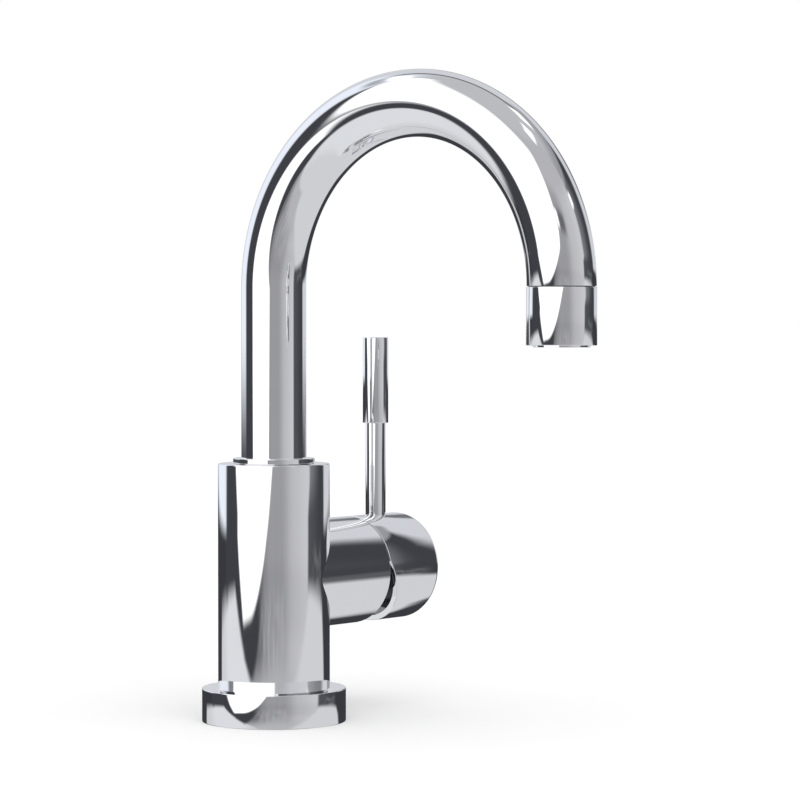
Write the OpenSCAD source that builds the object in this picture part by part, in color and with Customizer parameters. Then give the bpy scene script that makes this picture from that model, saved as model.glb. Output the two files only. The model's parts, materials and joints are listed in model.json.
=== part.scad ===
// Single-hole lavatory faucet with a swept swivel spout and a side lever.
// Origin: centre of the base on the deck. The spout points along -Y, the handle along +X.

/* [Base flange] */
// Diameter of the base flange
base_d = 56.3; // [54:0.1:64]
// Height of the base flange above the deck
base_h = 13; // [12:0.5:18]
// Chamfer on the flange's top edge
base_edge = 0.3; // [0.1:0.1:1]
// Diameter of the body's spigot inside the flange
spigot_d = 40; // [38:0.5:42]
// Height of the spigot's end above the deck
spigot_z = 1; // [0.5:0.1:2]
// Radial width of the base gasket
gasket_w = 4; // [2:0.5:5]
// Thickness of the base gasket
gasket_t = 2; // [1:0.5:3]

/* [Body] */
// Diameter of the upright body
body_d = 43.7; // [43.2:0.1:48]
// Height of the body's top above the deck
body_h = 100.8; // [92:0.1:115]
// Chamfer on the body's top edge
body_edge = 0.45; // [0.1:0.05:1.5]
// Diameter of the hub and of the handle cap in line with it
hub_d = 43; // [41:0.1:43.2]
// Height of the hub's axis above the deck
hub_z = 56.3; // [52:0.1:58]
// Distance from the body's axis to the hub's end face
hub_end = 46; // [45:0.5:48]
// Chamfer on the edges of the hub's end and of the cap's rim
seam_edge = 0.25; // [0.1:0.05:0.5]

/* [Deck clamp] */
// Thickness of the deck that the faucet is shown clamped to
deck_t = 30; // [5:1:36]
// Outer diameter of the threaded shank
shank_d = 32; // [30:0.5:34]
// Bore of the shank, which the supply hoses pass through
shank_bore_d = 24.6; // [23:0.2:27]
// Length of the shank below the deck's top
shank_l = 64; // [60:1:80]
// Length of the shank's thread inside the body
shank_seat = 11; // [9:0.5:11.5]
// Diameter of the washers under the deck
washer_d = 51; // [46:1:60]
// Thickness of the rubber washer
rubber_t = 3; // [2:0.5:5]
// Thickness of the clamp washer
clamp_t = 2; // [1.5:0.5:4]
// Diameter of the mounting nut's flange
nut_d = 52; // [50:1:60]
// Thickness of the mounting nut's flange
nut_flange_t = 6; // [4:0.5:8]
// Number of grip notches round the nut's flange
nut_notches = 12; // [6:1:18]
// Diameter of the cutter for the grip notches
notch_d = 3.2; // [2:0.2:4]
// Depth of the grip notches
notch_depth = 1; // [0.5:0.1:1.4]
// Length of the mounting nut's sleeve below its flange
nut_sleeve_l = 8; // [5:0.5:12]
// Wall of the mounting nut's sleeve
nut_sleeve_wall = 2.5; // [1.5:0.1:3]
// Distance from the nut's flange to the clamp washer
nut_standoff = 2; // [0.5:0.5:4]
// Thread diameter of the jack screws
jack_d = 4; // [3:0.5:4.5]
// Number of jack screws
jack_count = 3; // [2:1:6]
// Shaft length of the jack screws
jack_l = 18; // [14:1:24]
// Diameter of the jack screws' heads
jack_head_d = 7.2; // [6:0.2:8]
// Height of the jack screws' heads
jack_head_t = 2.8; // [2:0.1:4]
// Width across the flats of the jack screws' sockets
jack_hex = 3; // [2:0.5:4]

/* [Supply inlets] */
// Thread diameter of a supply inlet, at its wall
inlet_d = 9.2; // [8.4:0.1:9.4]
// Distance of a supply inlet from the body's axis
inlet_offset = 6; // [5.6:0.1:6.4]
// Depth of a supply inlet
inlet_l = 12; // [9:0.5:14]

/* [Waterways] */
// Diameter of the drilled ways from the inlets to the cartridge
supply_way_d = 5; // [3:0.1:5]
// Distance of the supply ways from the body's axis
supply_way_offset = 8; // [7.6:0.1:8.2]
// Diameter of the drilled way from the cartridge to the spout
mixed_way_d = 6; // [4:0.1:8]
// Height of the supply ports above the hub's axis
supply_port_rise = 5; // [4:0.1:6]
// Depth of the mixed-water port below the hub's axis
mixed_port_drop = 6.5; // [5:0.1:7.5]

/* [Cartridge] */
// Outer diameter of the ceramic cartridge
cartridge_d = 35; // [34:0.1:36]
// Distance from the body's axis to the cartridge's seat
seat_x = 12; // [11:0.1:13]
// Length of the cartridge from its seat to its shoulder
cartridge_l = 28; // [27:0.5:30]
// Thickness of the cartridge's base plate
plate_t = 3; // [2.5:0.1:3.5]
// Thickness of each ceramic disc
disc_t = 3; // [2.5:0.1:3.5]
// Depth of the mixing recess in the moving disc
recess_depth = 2; // [1:0.1:2.3]
// Diameter of the mixing recess in the moving disc
recess_d = 16; // [14:0.2:17]
// Distance of the mixing recess from the moving disc's centre
recess_offset = 2; // [1:0.1:2.4]
// Clearance between the moving disc and the housing at full throw
throw_gap = 0.8; // [0.4:0.1:1.2]
// Wall of the cartridge's housing round the discs
housing_wall = 3.9; // [3:0.1:4.2]
// Height of the carrier on the moving disc
carrier_h = 6.5; // [6:0.1:7]
// Floor of the carrier under the stem's ball
carrier_floor = 0.8; // [0.6:0.1:1.2]
// Height of the carrier's guide rails
rail_h = 1.2; // [0.8:0.1:1.3]
// Width of the carrier's guide rails
rail_w = 1.8; // [1.2:0.1:2.2]
// Length of the carrier's guide rails
rail_l = 10; // [8:0.5:11]
// Distance between a guide rail and the carrier's pocket
rail_offset = 4.2; // [3.6:0.1:4.4]
// Diameter of the rotor that the stem turns in
rotor_d = 24.8; // [24:0.1:25.4]
// Thickness of the rotor's flange
rotor_flange_t = 1.4; // [1.3:0.1:2]
// How far the rotor stands out of the housing's neck
rotor_proud = 0.5; // [0.2:0.1:1]
// Wall of the seals round the ports
seal_w = 1.6; // [1:0.1:2]
// Thickness of the seals round the ports
seal_t = 1.2; // [0.8:0.1:1.6]
// Diameter of the pin that the stem tilts on
pin_d = 3; // [2:0.1:4]
// Inner diameter of the cartridge's retaining nut
retainer_bore_d = 28; // [27.8:0.1:30]
// Length of the housing's neck above its shoulder
neck_l = 2; // [1:0.1:2.4]
// Number of spanner slots in the retaining nut
spanner_slots = 4; // [2:1:6]
// Width of a spanner slot
spanner_w = 3.2; // [2:0.2:4]
// Depth of a spanner slot
spanner_depth = 1.5; // [1:0.1:2]

/* [Stem] */
// Width across the flats of the square stem
stem_w = 8; // [6:0.1:8.4]
// Length of the stem from its pivot to its outer end
stem_l = 38; // [34:0.5:40]
// Reach of the stem's eye behind its pivot
stem_eye = 5; // [4:0.1:5.4]
// Distance from the stem's pivot to the centre of its ball
stem_arm = 9.5; // [9:0.1:10]
// Diameter of the stem's ball
ball_d = 5; // [4:0.1:5.2]
// Diameter of the stem's neck behind the ball
neck_d = 3.6; // [3:0.1:3.8]
// Travel of the lever from closed to fully open, in degrees
lift_angle = 22; // [14:1:23]

/* [Bonnet] */
// Thickness of the bonnet's flange on the hub
bonnet_flange_t = 0.9; // [0.6:0.1:1.5]
// Wall of the bonnet
bonnet_wall = 1.2; // [0.8:0.1:1.6]
// Diameter of the bonnet's opening round the stem
bonnet_open_d = 18.4; // [17.6:0.1:20]
// Wall of the bonnet's skirt inside the retaining nut
skirt_wall = 1.1; // [0.8:0.1:1.4]
// Radial clearance round the bonnet, inside the hub and the cap
bonnet_gap = 0.5; // [0.4:0.05:0.8]

/* [Handle cap] */
// Seam between the hub's end face and the cap's rim
cap_gap = 0.5; // [0.3:0.1:1]
// Length of the cap, from its rim to the top of its crown
cap_l = 32.5; // [31:0.5:38]
// Wall of the cap's rim
cap_wall = 2; // [1.5:0.1:2.6]
// Radius of the edge at the cap's end
cap_edge_r = 1.6; // [0.8:0.1:4]
// Radius of the shallow crown on the cap's end
crown_r = 130; // [80:5:250]
// Height above the hub's axis at which the rim's slanted relief starts
relief_start = 5; // [3:0.5:8]
// Slant of the rim's relief from upright, in degrees
relief_angle = 22.8; // [21:0.1:24]
// Wall between the cap's hollow and the lever's thread
cap_web = 1.1; // [0.8:0.1:2]
// Diameter of the threaded tunnel for the handle's set screw
tunnel_d = 6.4; // [6:0.1:7]
// Distance of the set screw from the stem's outer end
grub_inset = 9; // [7:0.5:10]
// Diameter of the set screw's tip
grub_tip_d = 5; // [4:0.1:5.8]
// Length of the set screw's tip
grub_tip_l = 1; // [0.5:0.1:1.5]
// Length of the handle's set screw
grub_l = 8; // [6:0.5:12]
// Width across the flats of the set screw's socket
grub_hex = 2.5; // [2:0.5:3]
// Thickness of the plug that hides the set screw
plug_t = 3; // [2:0.5:4]

/* [Lever] */
// Distance from the hub's end face to the lever's axis
lever_out = 16.6; // [16:0.1:18]
// Diameter of the lever's rod
rod_d = 8.2; // [7.6:0.1:9]
// Length of the rod between the cap and the grip
rod_l = 37.2; // [30:0.1:50]
// Depth of the rod's seat below the top of the cap
rod_sink = 0.8; // [0.5:0.1:1.2]
// Thread diameter of the rod's ends
rod_thread_d = 6; // [5:0.1:6.4]
// Length of the rod's lower thread, down from the top of the cap
rod_seat = 10.5; // [6:0.1:10.8]
// Diameter of the grip
grip_d = 10.4; // [9.4:0.1:13]
// Length of the grip
grip_l = 34.8; // [28:0.1:45]
// Chamfer on the grip's ends
grip_edge = 0.3; // [0.1:0.1:1]
// Length of the rod's upper thread inside the grip
grip_seat = 15; // [8:0.5:20]

/* [Spout] */
// Outer diameter of the spout's tube
tube_d = 25.4; // [24.4:0.1:27]
// Wall of the spout's tube
tube_wall = 2; // [1.6:0.1:2.4]
// Height above the deck at which the riser turns into the arch
riser_top = 168.8; // [150:0.2:240]
// Radius of the arch, at the tube's centre line
arch_r = 69.2; // [55:0.1:90]
// Diameter of the collar at the spout's foot
collar_d = 31.8; // [31:0.1:36]
// Height of the collar at the spout's foot
collar_h = 2.1; // [1.5:0.1:5]
// Chamfer on the collar's top edge
collar_edge = 0.3; // [0.1:0.1:0.8]
// Diameter of the bore in the body that the spout turns in
journal_bore_d = 28; // [27.4:0.1:28.4]
// Wall between that bore and the cartridge's bore in the hub
journal_web = 3.8; // [3:0.1:5]
// Bore of the nipple that carries the spout
nipple_bore_d = 17; // [14:0.5:18]
// Length of the nipple's spigot inside the tube
nipple_spigot_l = 9; // [6:0.5:14]
// Section diameter of the spout's O-rings
ring_section = 1.9; // [1.4:0.1:2]
// Radial width of the thrust washer under the collar
thrust_w = 1.4; // [1:0.1:1.45]
// Thickness of the thrust washer
thrust_t = 1; // [0.5:0.1:1.5]
// Thread diameter of the screw that keeps the spout in
keeper_d = 5; // [4:0.5:6]
// Depth of that screw's end below the body's surface
keeper_sink = 0.5; // [0.2:0.1:1]
// Width across the flats of that screw's socket
keeper_hex = 2.5; // [2:0.5:3]
// Diameter of that screw's nose
nose_d = 3; // [2.4:0.1:3.4]
// Depth of the groove that the nose runs in
groove_depth = 2; // [1.2:0.1:2.4]

/* [Aerator] */
// How far the aerator's housing stands proud of the tube
aerator_step = 0.15; // [0.05:0.05:0.6]
// Length of the aerator's housing
aerator_l = 21.1; // [19:0.1:30]
// Chamfer on the foot of the aerator's housing
aerator_edge = 0.3; // [0.1:0.1:0.8]
// Height of the rim round the outlet, below the housing's foot
rim_h = 0.7; // [0.4:0.1:1.5]
// Wall of the rim round the outlet
rim_w = 0.6; // [0.4:0.1:1]
// Wall of the aerator's housing round the thread
aerator_wall = 1; // [0.8:0.1:1.2]
// Width of the reveal between the tube and the aerator's housing
reveal = 0.3; // [0.2:0.1:1]
// Depth of the reveal
reveal_depth = 0.6; // [0.3:0.1:1]
// Length of the outlet bushing's spigot inside the tube
bushing_spigot_l = 4; // [2:0.5:5]
// Wall of the outlet bushing inside the tube
bushing_wall = 1; // [0.8:0.1:1.5]
// Thickness of the lip that holds the aerator's insert
lip_t = 1.5; // [1:0.1:2.5]
// Radial width of that lip
lip_w = 1.1; // [0.8:0.1:1.5]
// Length of the aerator's insert
insert_l = 8; // [5:0.5:9]
// Width of the step between the insert's bore and the thread
insert_step = 0.9; // [0.5:0.1:1.2]
// Thickness of the aerator's washer
aerator_washer_t = 1.8; // [1:0.1:2.5]
// How far the aerator's washer covers the insert
aerator_washer_lap = 2; // [1:0.1:3]
// Width across the flats of a honeycomb cell
cell_w = 2.4; // [1.8:0.1:3]
// Wall between honeycomb cells
cell_wall = 0.6; // [0.4:0.1:1]

/* [Clearances] */
// Radial clearance of a part that turns in another
running_gap = 0.05; // [0.02:0.01:0.09]
// Radial clearance of a thread
thread_gap = 0.03; // [0.01:0.01:0.05]
// Radial clearance of an O-ring in its bore, and of the stem in the cap
snug_gap = 0.02; // [0.01:0.01:0.04]
// Clearance between pieces that stay still
static_gap = 0.2; // [0.1:0.05:0.3]
// Clearance beside a piece that slides or tilts
side_gap = 0.15; // [0.1:0.05:0.2]
// Clearance between pieces that pass each other freely
free_gap = 0.3; // [0.25:0.05:0.4]
// Radial clearance of the washers on the shank
washer_gap = 0.4; // [0.2:0.1:0.8]

/* [Hidden] */
$fn = 96;
cut = 0.1;
hex_depth = 0.7; // depth of a hexagon socket, as a share of its width

// Radii
base_r = base_d / 2;
body_r = body_d / 2;
hub_r = hub_d / 2;
spigot_r = spigot_d / 2;
shank_r = shank_d / 2;
tube_r = tube_d / 2;
tube_bore_r = tube_r - tube_wall;
rod_r = rod_d / 2;
grip_r = grip_d / 2;

// Base and deck clamp
socket_top = spigot_z + shank_seat;
flange_bore_r = spigot_r + running_gap;
gasket_r = (base_r + flange_bore_r + gasket_w) / 2;
rubber_z = -deck_t - rubber_t;
clamp_z = rubber_z - clamp_t;
nut_top = clamp_z - nut_standoff;
nut_sleeve_r = shank_r + thread_gap + nut_sleeve_wall;
jack_ring_r = (nut_sleeve_r + nut_d / 2) / 2;
washer_bore_r = shank_r + washer_gap;
inlet_top = socket_top + inlet_l;

// Cartridge, measured along the hub's axis from the body's axis
cartridge_r = cartridge_d / 2;
hub_bore_r = cartridge_r + static_gap;
shoulder_x = seat_x + cartridge_l;
fixed_disc_x = seat_x + plate_t;
moving_disc_x = fixed_disc_x + disc_t;
carrier_x = moving_disc_x + disc_t;
rotor_x = carrier_x + carrier_h + free_gap;
rotor_top_x = shoulder_x + neck_l + rotor_proud;
pivot_x = carrier_x + carrier_floor + static_gap + ball_d / 2 + stem_arm;
lean = lift_angle / 2;
disc_throw = stem_arm * sin(lean);
chamber_r = cartridge_r - housing_wall;
disc_r = chamber_r - disc_throw - throw_gap;
rotor_r = rotor_d / 2;
rotor_bore_r = rotor_r + running_gap;
slot_reach = max(rotor_top_x - pivot_x, pivot_x - rotor_x);
slot_half = slot_reach * tan(lean) + stem_w / 2 / cos(lean) + free_gap;
pocket_half = ball_d / 2 + side_gap;
rail_y = pocket_half + rail_offset;
neck_r = retainer_bore_d / 2 - static_gap;

// Handle, measured from the body's axis
cap_x = hub_end + cap_gap;
cap_bore_r = hub_r - cap_wall;
bonnet_r = cap_bore_r - bonnet_gap;
lever_x = hub_end + lever_out;
cap_floor_x = lever_x - rod_thread_d / 2 - cap_web;
cap_top_z = hub_z + hub_r;
rod_foot_z = cap_top_z - rod_sink;
grip_z = cap_top_z + rod_l;
grub_s = stem_l - grub_inset;

// Spout
journal_bore_r = journal_bore_d / 2;
journal_r = journal_bore_r - running_gap;
journal_floor = hub_z + hub_bore_r + journal_web;
nipple_foot_z = journal_floor + free_gap;
journal_half = (body_h - thrust_t - nipple_foot_z) / 2;
keeper_z = nipple_foot_z + journal_half;
keeper_groove_w = nose_d + 2 * free_gap;
seal_groove_w = ring_section + 2 * free_gap;
ring_offset = (journal_half + keeper_groove_w / 2) / 2;
ring_r = journal_r - ring_section / 2 - snug_gap;
thrust_bore_r = journal_bore_r + running_gap;
thrust_r = thrust_bore_r + thrust_w;
aerator_r = tube_r + aerator_step;
aerator_top = riser_top - reveal;
aerator_z = aerator_top - aerator_l;
insert_z = aerator_z + lip_t;
thread_bore_r = aerator_r - aerator_wall;
tip_neck_r = thread_bore_r - thread_gap;
tip_end = insert_z + insert_l + aerator_washer_t;
insert_r = thread_bore_r - insert_step;
outlet_r = insert_r - lip_w;
tip_y = -2 * arch_r;

// Lays a piece along the hub's axis, from x outwards; its own +X then points down
module along_hub(x) {
    translate([x, 0, hub_z]) rotate([0, 90, 0]) children();
}

// Places a piece on the stem's own axis at rest, measured from its pivot
module along_stem() {
    translate([pivot_x, 0, hub_z]) rotate([0, -lean, 0]) children();
}

// A cylinder with a chamfer round its far end
module edged_cylinder(r, h, edge) {
    rotate_extrude() polygon([[0, 0], [r, 0], [r, h - edge], [r - edge, h], [0, h]]);
}

module ring(outer, inner, h) {
    difference() {
        cylinder(r = outer, h = h);
        translate([0, 0, -cut]) cylinder(r = inner, h = h + 2 * cut);
    }
}

function arc(r, from, to, centre, steps) =
    [for (i = [0 : steps]) let (a = from + (to - from) * i / steps)
        centre + r * [cos(a), sin(a)]];

// Hexagon socket that goes down from the origin
module socket_hex(across) {
    depth = across * hex_depth;
    translate([0, 0, -depth]) cylinder(d = across / cos(30), h = depth + cut, $fn = 6);
}

// Upright casting with its side hub, spigot and waterways
module body() {
    color("silver") difference() {
        union() {
            translate([0, 0, base_h]) edged_cylinder(body_r, body_h - base_h, body_edge);
            translate([0, 0, spigot_z]) cylinder(r = spigot_r, h = base_h - spigot_z + cut);
            along_hub(0) edged_cylinder(hub_r, hub_end, seam_edge);
        }
        translate([0, 0, spigot_z - cut]) cylinder(r = shank_r + thread_gap, h = shank_seat + cut);
        for (side = [-1, 1]) supply_way(side);
        mixed_way();
        along_hub(seat_x) cylinder(r = hub_bore_r, h = hub_end - seat_x + cut);
        translate([0, 0, journal_floor]) cylinder(r = journal_bore_r, h = body_h - journal_floor + cut);
        translate([0, 0, body_h - thrust_t]) cylinder(r = thrust_r + running_gap, h = thrust_t + cut);
        translate([0, 0, keeper_z]) rotate([-90, 0, 0])
            cylinder(d = keeper_d + 2 * thread_gap, h = body_r + cut);
    }
}

module supply_way(side) {
    translate([0, side * inlet_offset, socket_top - cut]) cylinder(d = inlet_d, h = inlet_l + cut);
    translate([0, side * supply_way_offset, inlet_top - cut])
        cylinder(d = supply_way_d, h = hub_z + supply_port_rise - inlet_top + cut);
    along_hub(0) translate([-supply_port_rise, side * supply_way_offset, 0])
        cylinder(d = supply_way_d, h = seat_x + cut);
}

module mixed_way() {
    along_hub(0) translate([mixed_port_drop, 0, -mixed_way_d / 2])
        cylinder(d = mixed_way_d, h = seat_x + mixed_way_d / 2 + cut);
    translate([0, 0, hub_z - mixed_port_drop])
        cylinder(d = mixed_way_d, h = journal_floor - hub_z + mixed_port_drop + cut);
}

// Turned ring that the body stands in
module base_flange() {
    color("silver") difference() {
        edged_cylinder(base_r, base_h, base_edge);
        translate([0, 0, -cut]) cylinder(r = flange_bore_r, h = base_h + 2 * cut);
        translate([0, 0, -cut]) ring(gasket_r, gasket_r - gasket_w, gasket_t + cut);
    }
}

module base_gasket() {
    color("dimgray") ring(gasket_r, gasket_r - gasket_w, gasket_t);
}

module mounting_shank() {
    color("goldenrod") translate([0, 0, -shank_l]) ring(shank_r, shank_bore_d / 2, shank_l + socket_top);
}

module rubber_washer() {
    color("dimgray") translate([0, 0, rubber_z]) ring(washer_d / 2, washer_bore_r, rubber_t);
}

module clamp_washer() {
    color("lightsteelblue") translate([0, 0, clamp_z]) ring(washer_d / 2, washer_bore_r, clamp_t);
}

module on_jack_ring() {
    for (i = [0 : jack_count - 1]) rotate([0, 0, 90 + i * 360 / jack_count])
        translate([jack_ring_r, 0, 0]) children();
}

// Flanged nut on the shank, with a threaded hole for each jack screw
module mounting_nut() {
    color("darkslategray") difference() {
        union() {
            translate([0, 0, nut_top - nut_flange_t]) cylinder(d = nut_d, h = nut_flange_t);
            translate([0, 0, nut_top - nut_flange_t - nut_sleeve_l])
                cylinder(r = nut_sleeve_r, h = nut_sleeve_l + cut);
        }
        translate([0, 0, nut_top - nut_flange_t - nut_sleeve_l - cut])
            cylinder(r = shank_r + thread_gap, h = nut_flange_t + nut_sleeve_l + 2 * cut);
        on_jack_ring() translate([0, 0, nut_top - nut_flange_t - cut])
            cylinder(d = jack_d + 2 * thread_gap, h = nut_flange_t + 2 * cut);
        for (i = [0 : nut_notches - 1]) rotate([0, 0, 90 + (i + 0.5) * 360 / nut_notches])
            translate([(nut_d + notch_d) / 2 - notch_depth, 0, nut_top - nut_flange_t - cut])
                cylinder(d = notch_d, h = nut_flange_t + 2 * cut);
    }
}

module jack_screws() {
    color("lightsteelblue") on_jack_ring() difference() {
        translate([0, 0, clamp_z - jack_l]) union() {
            cylinder(d = jack_d, h = jack_l);
            translate([0, 0, -jack_head_t]) cylinder(d = jack_head_d, h = jack_head_t + cut);
        }
        translate([0, 0, clamp_z - jack_l - jack_head_t]) mirror([0, 0, 1]) socket_hex(jack_hex);
    }
}

// Slippery ring between the body and the spout's collar
module thrust_washer() {
    color("whitesmoke") translate([0, 0, body_h - thrust_t]) ring(thrust_r, thrust_bore_r, thrust_t);
}

// Screw at the back of the body, with its nose in the nipple's groove
module spout_keeper_screw() {
    nose_end = journal_r - groove_depth + free_gap;
    thread_start = journal_bore_r + free_gap;
    head = body_r - keeper_sink;
    color("lightsteelblue") translate([0, 0, keeper_z]) rotate([-90, 0, 0]) difference() {
        union() {
            translate([0, 0, nose_end]) cylinder(d = nose_d, h = thread_start - nose_end + cut);
            translate([0, 0, thread_start]) cylinder(d = keeper_d, h = head - thread_start);
        }
        translate([0, 0, head]) socket_hex(keeper_hex);
    }
}

module port_positions() {
    for (side = [-1, 1]) translate([-supply_port_rise, side * supply_way_offset, 0])
        circle(d = supply_way_d);
    translate([mixed_port_drop, 0, 0]) circle(d = mixed_way_d);
}

module port_seals() {
    for (side = [-1, 1]) translate([-supply_port_rise, side * supply_way_offset, 0])
        circle(d = supply_way_d + 2 * seal_w);
    translate([mixed_port_drop, 0, 0]) circle(d = mixed_way_d + 2 * seal_w);
}

module cartridge_base() {
    color("ivory") along_hub(seat_x) difference() {
        cylinder(r = cartridge_r, h = plate_t);
        translate([0, 0, -cut]) linear_extrude(plate_t + 2 * cut) port_positions();
        translate([0, 0, -cut]) linear_extrude(seal_t + cut) port_seals();
    }
}

module cartridge_seals() {
    color("dimgray") along_hub(seat_x) linear_extrude(seal_t) difference() {
        port_seals();
        port_positions();
    }
}

module cartridge_housing() {
    chamber_end = rotor_x + rotor_flange_t + side_gap - fixed_disc_x;
    color("ivory") along_hub(fixed_disc_x) difference() {
        union() {
            cylinder(r = cartridge_r, h = shoulder_x - fixed_disc_x);
            cylinder(r = neck_r, h = shoulder_x + neck_l - fixed_disc_x);
        }
        translate([0, 0, -cut]) cylinder(r = chamber_r, h = chamber_end + cut);
        cylinder(r = rotor_bore_r, h = cartridge_l + neck_l);
    }
}

module fixed_disc() {
    color("white") along_hub(fixed_disc_x) difference() {
        cylinder(r = chamber_r - running_gap, h = disc_t);
        translate([0, 0, -cut]) linear_extrude(disc_t + 2 * cut) port_positions();
    }
}

// Ceramic disc that slides over the ports; its recess joins them
module moving_disc() {
    color("white") along_hub(moving_disc_x) translate([disc_throw, 0, 0]) difference() {
        cylinder(r = disc_r, h = disc_t);
        translate([recess_offset, 0, -cut]) cylinder(d = recess_d, h = recess_depth + cut);
    }
}

module carrier_rails(gap, reach) {
    for (side = [-1, 1]) translate([0, side * (rail_y + rail_w / 2), 0])
        cube([rail_l + 2 * reach, rail_w + 2 * gap, 2 * (rail_h + gap)], center = true);
}

module disc_carrier() {
    color("tan") along_hub(carrier_x) translate([disc_throw, 0, 0]) difference() {
        union() {
            cylinder(r = disc_r, h = carrier_h);
            translate([0, 0, carrier_h]) intersection() {
                carrier_rails(0, 0);
                translate([0, 0, -cut]) cylinder(r = disc_r, h = 2 * rail_h);
            }
        }
        translate([-pocket_half, -pocket_half, carrier_floor])
            cube([2 * pocket_half, 2 * pocket_half, carrier_h]);
    }
}

// Turns with the lever to set the temperature, and carries the stem's pin
module cartridge_rotor() {
    rotor_l = rotor_top_x - rotor_x;
    slot_w = stem_w + 2 * side_gap;
    color("tan") along_hub(rotor_x) difference() {
        union() {
            cylinder(r = chamber_r - side_gap, h = rotor_flange_t);
            cylinder(r = rotor_r, h = rotor_l);
        }
        translate([-slot_half, -slot_w / 2, -cut]) cube([2 * slot_half, slot_w, rotor_l + 2 * cut]);
        carrier_rails(side_gap, 2 * disc_throw + free_gap);
        translate([0, 0, pivot_x - rotor_x]) rotate([90, 0, 0])
            cylinder(d = pin_d, h = 2 * rotor_r + cut, center = true);
    }
}

module pivot_pin() {
    color("lightsteelblue") translate([pivot_x, 0, hub_z]) rotate([90, 0, 0])
        cylinder(d = pin_d, h = 2 * (rotor_r - free_gap), center = true);
}

// Square stem that tilts on the pin; its ball moves the disc carrier
module cartridge_stem() {
    color("lightsteelblue") along_stem() difference() {
        union() {
            translate([-stem_eye, -stem_w / 2, -stem_w / 2]) cube([stem_eye + stem_l, stem_w, stem_w]);
            translate([-stem_arm, 0, 0]) rotate([0, 90, 0]) cylinder(d = neck_d, h = stem_arm);
            translate([-stem_arm, 0, 0]) sphere(d = ball_d);
        }
        rotate([90, 0, 0]) cylinder(d = pin_d + 2 * running_gap, h = stem_w + 2 * cut, center = true);
    }
}

module retaining_nut() {
    nut_l = hub_end - shoulder_x;
    color("goldenrod") along_hub(shoulder_x) difference() {
        ring(hub_bore_r - thread_gap, retainer_bore_d / 2, nut_l);
        for (i = [0 : spanner_slots - 1]) rotate([0, 0, 45 + i * 360 / spanner_slots])
            translate([hub_bore_r, 0, nut_l])
                cube([2 * spanner_depth, spanner_w, 2 * spanner_depth], center = true);
    }
}

// Domed ring that covers the retaining nut inside the cap
module bonnet() {
    top_x = hub_end + bonnet_flange_t;
    open_r = bonnet_open_d / 2;
    inner_r = bonnet_r - bonnet_wall;
    skirt_r = retainer_bore_d / 2 - thread_gap;
    skirt_in = skirt_r - skirt_wall;
    foot_x = rotor_top_x + free_gap;
    centre = [0, pivot_x];
    outside = arc(bonnet_r, 90 - acos((top_x - pivot_x) / bonnet_r), acos(open_r / bonnet_r), centre, 8);
    inside = arc(inner_r, acos(open_r / inner_r), acos(skirt_in / inner_r), centre, 8);
    color("silver") along_hub(0) rotate_extrude() polygon(concat(
        [[skirt_in, foot_x], [skirt_r, foot_x], [skirt_r, hub_end]],
        [[hub_bore_r - bonnet_gap, hub_end], [hub_bore_r - bonnet_gap, top_x]], outside, inside));
}

// Outer form of the cap: rim chamfer, barrel, rounded edge and shallow crown
module cap_form() {
    tilt = asin((hub_r - cap_edge_r) / (crown_r - cap_edge_r));
    edge_h = cap_l - crown_r + (crown_r - cap_edge_r) * cos(tilt);
    edge_arc = arc(cap_edge_r, 0, 90 - tilt, [hub_r - cap_edge_r, edge_h], 8);
    crown_arc = arc(crown_r, 90 - tilt, 90, [0, cap_l - crown_r], 8);
    crown_rest = [for (i = [1 : 8]) crown_arc[i]];
    along_hub(cap_x) rotate_extrude() polygon(concat(
        [[0, 0], [hub_r - seam_edge, 0], [hub_r, seam_edge]], edge_arc, crown_rest));
}

module screw_tunnel(d) {
    along_stem() translate([grub_s, 0, -stem_w / 2]) rotate([180, 0, 0]) cylinder(d = d, h = 2 * hub_r);
}

module handle_cap() {
    color("silver") difference() {
        cap_form();
        along_hub(cap_x - cut) cylinder(r = cap_bore_r, h = cap_floor_x - cap_x + cut);
        translate([cap_x, 0, hub_z + relief_start]) rotate([0, -relief_angle, 0])
            translate([-hub_d, -hub_d, -2 * hub_d]) cube([hub_d, 2 * hub_d, 2 * hub_d]);
        along_stem() translate([0, -stem_w / 2 - snug_gap, -stem_w / 2 - snug_gap])
            cube([stem_l + free_gap, stem_w + 2 * snug_gap, stem_w + 2 * snug_gap]);
        translate([lever_x, 0, cap_top_z - rod_seat]) cylinder(d = rod_thread_d, h = rod_seat + cut);
        translate([lever_x, 0, rod_foot_z]) cylinder(r = rod_r + thread_gap, h = rod_sink + cut);
        screw_tunnel(tunnel_d);
    }
}

module handle_set_screw() {
    color("lightsteelblue") along_stem() translate([grub_s, 0, -stem_w / 2]) rotate([180, 0, 0])
        difference() {
            union() {
                cylinder(d = grub_tip_d, h = grub_l);
                translate([0, 0, grub_tip_l]) cylinder(d = tunnel_d, h = grub_l - grub_tip_l);
            }
            translate([0, 0, grub_l]) socket_hex(grub_hex);
        }
}

module screw_plug() {
    color("silver") intersection() {
        cap_form();
        screw_tunnel(tunnel_d);
        difference() {
            along_hub(cap_x) cylinder(r = hub_r, h = cap_l);
            along_hub(cap_x - cut) cylinder(r = hub_r - plug_t, h = cap_l + 2 * cut);
        }
    }
}

// Rod that stands in a seat in the cap, with a thread at each end
module lever_rod() {
    thread_r = rod_thread_d / 2;
    color("silver") translate([lever_x, 0, cap_top_z]) rotate_extrude() polygon([
        [0, -rod_seat], [thread_r, -rod_seat], [thread_r, -rod_sink], [rod_r, -rod_sink],
        [rod_r, rod_l], [thread_r, rod_l], [thread_r, rod_l + grip_seat], [0, rod_l + grip_seat]]);
}

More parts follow.
